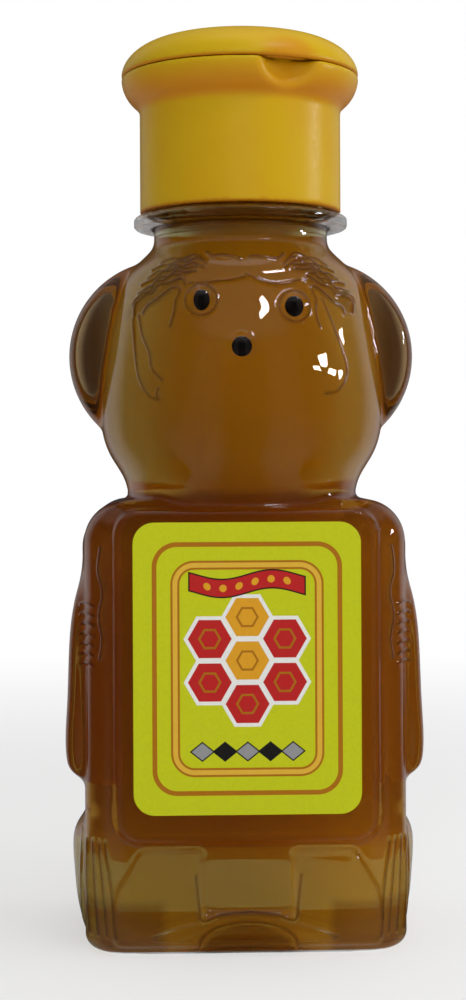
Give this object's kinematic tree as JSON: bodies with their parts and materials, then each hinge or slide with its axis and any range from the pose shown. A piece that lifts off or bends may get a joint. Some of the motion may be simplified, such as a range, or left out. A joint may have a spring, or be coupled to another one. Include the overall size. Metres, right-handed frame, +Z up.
{
  "type": "bear-shaped squeeze bottle",
  "caption": "Clear bear-shaped squeeze bottle of honey with paper labels and a yellow screw cap whose flip lid opens on a living hinge.",
  "frame": {"origin": "centre of the base plane, on the neck's upright axis", "axes": "+Z up along the neck, -Y is the way the bear faces, +X is to the right of a viewer in front"},
  "size_m": [0.0556, 0.0474, 0.1413],
  "materials": {
    "clear_pet": "gloss, clear",
    "honey": "clear syrup",
    "label_print": "coated, satin",
    "label_back": "coated, satin",
    "ink": "gloss ink",
    "liner_foam": "matt foam",
    "cap_yellow": "satin moulding",
    "lid_yellow": "satin moulding"
  },
  "bodies": {
    "bottle": {"bottle": "clear_pet", "bottle_neck": "clear_pet", "honey": "honey", "front_label": "label_print", "back_label": "label_back", "eye_left": "ink", "eye_right": "ink", "nose": "ink"},
    "liner": {"cap_liner": "liner_foam"},
    "cap": {"cap_base": "cap_yellow", "hinge_web": "cap_yellow"},
    "lid": {"flip_lid": "lid_yellow"}
  },
  "joints": [
    {"name": "cap_lift", "type": "slide", "parent": "bottle", "child": "liner", "axis": [0, 0, 1], "range_m": [0, 0.00635]},
    {"name": "cap_turn", "type": "hinge", "parent": "liner", "child": "cap", "pos_m": [0, 0, 0.122], "axis": [0, 0, 1], "range_deg": [0, 540]},
    {"name": "lid_flip", "type": "hinge", "parent": "cap", "child": "lid", "pos_m": [-0.00737, 0.01778, 0.1353], "axis": [-0.9239, -0.3827, 0], "range_deg": [0, 150], "deforming": ["hinge_web"]}
  ],
  "couplings": [
    {"joint": "cap_lift", "follows": "cap_turn", "m_per_rad": 0.00067375}
  ]
}
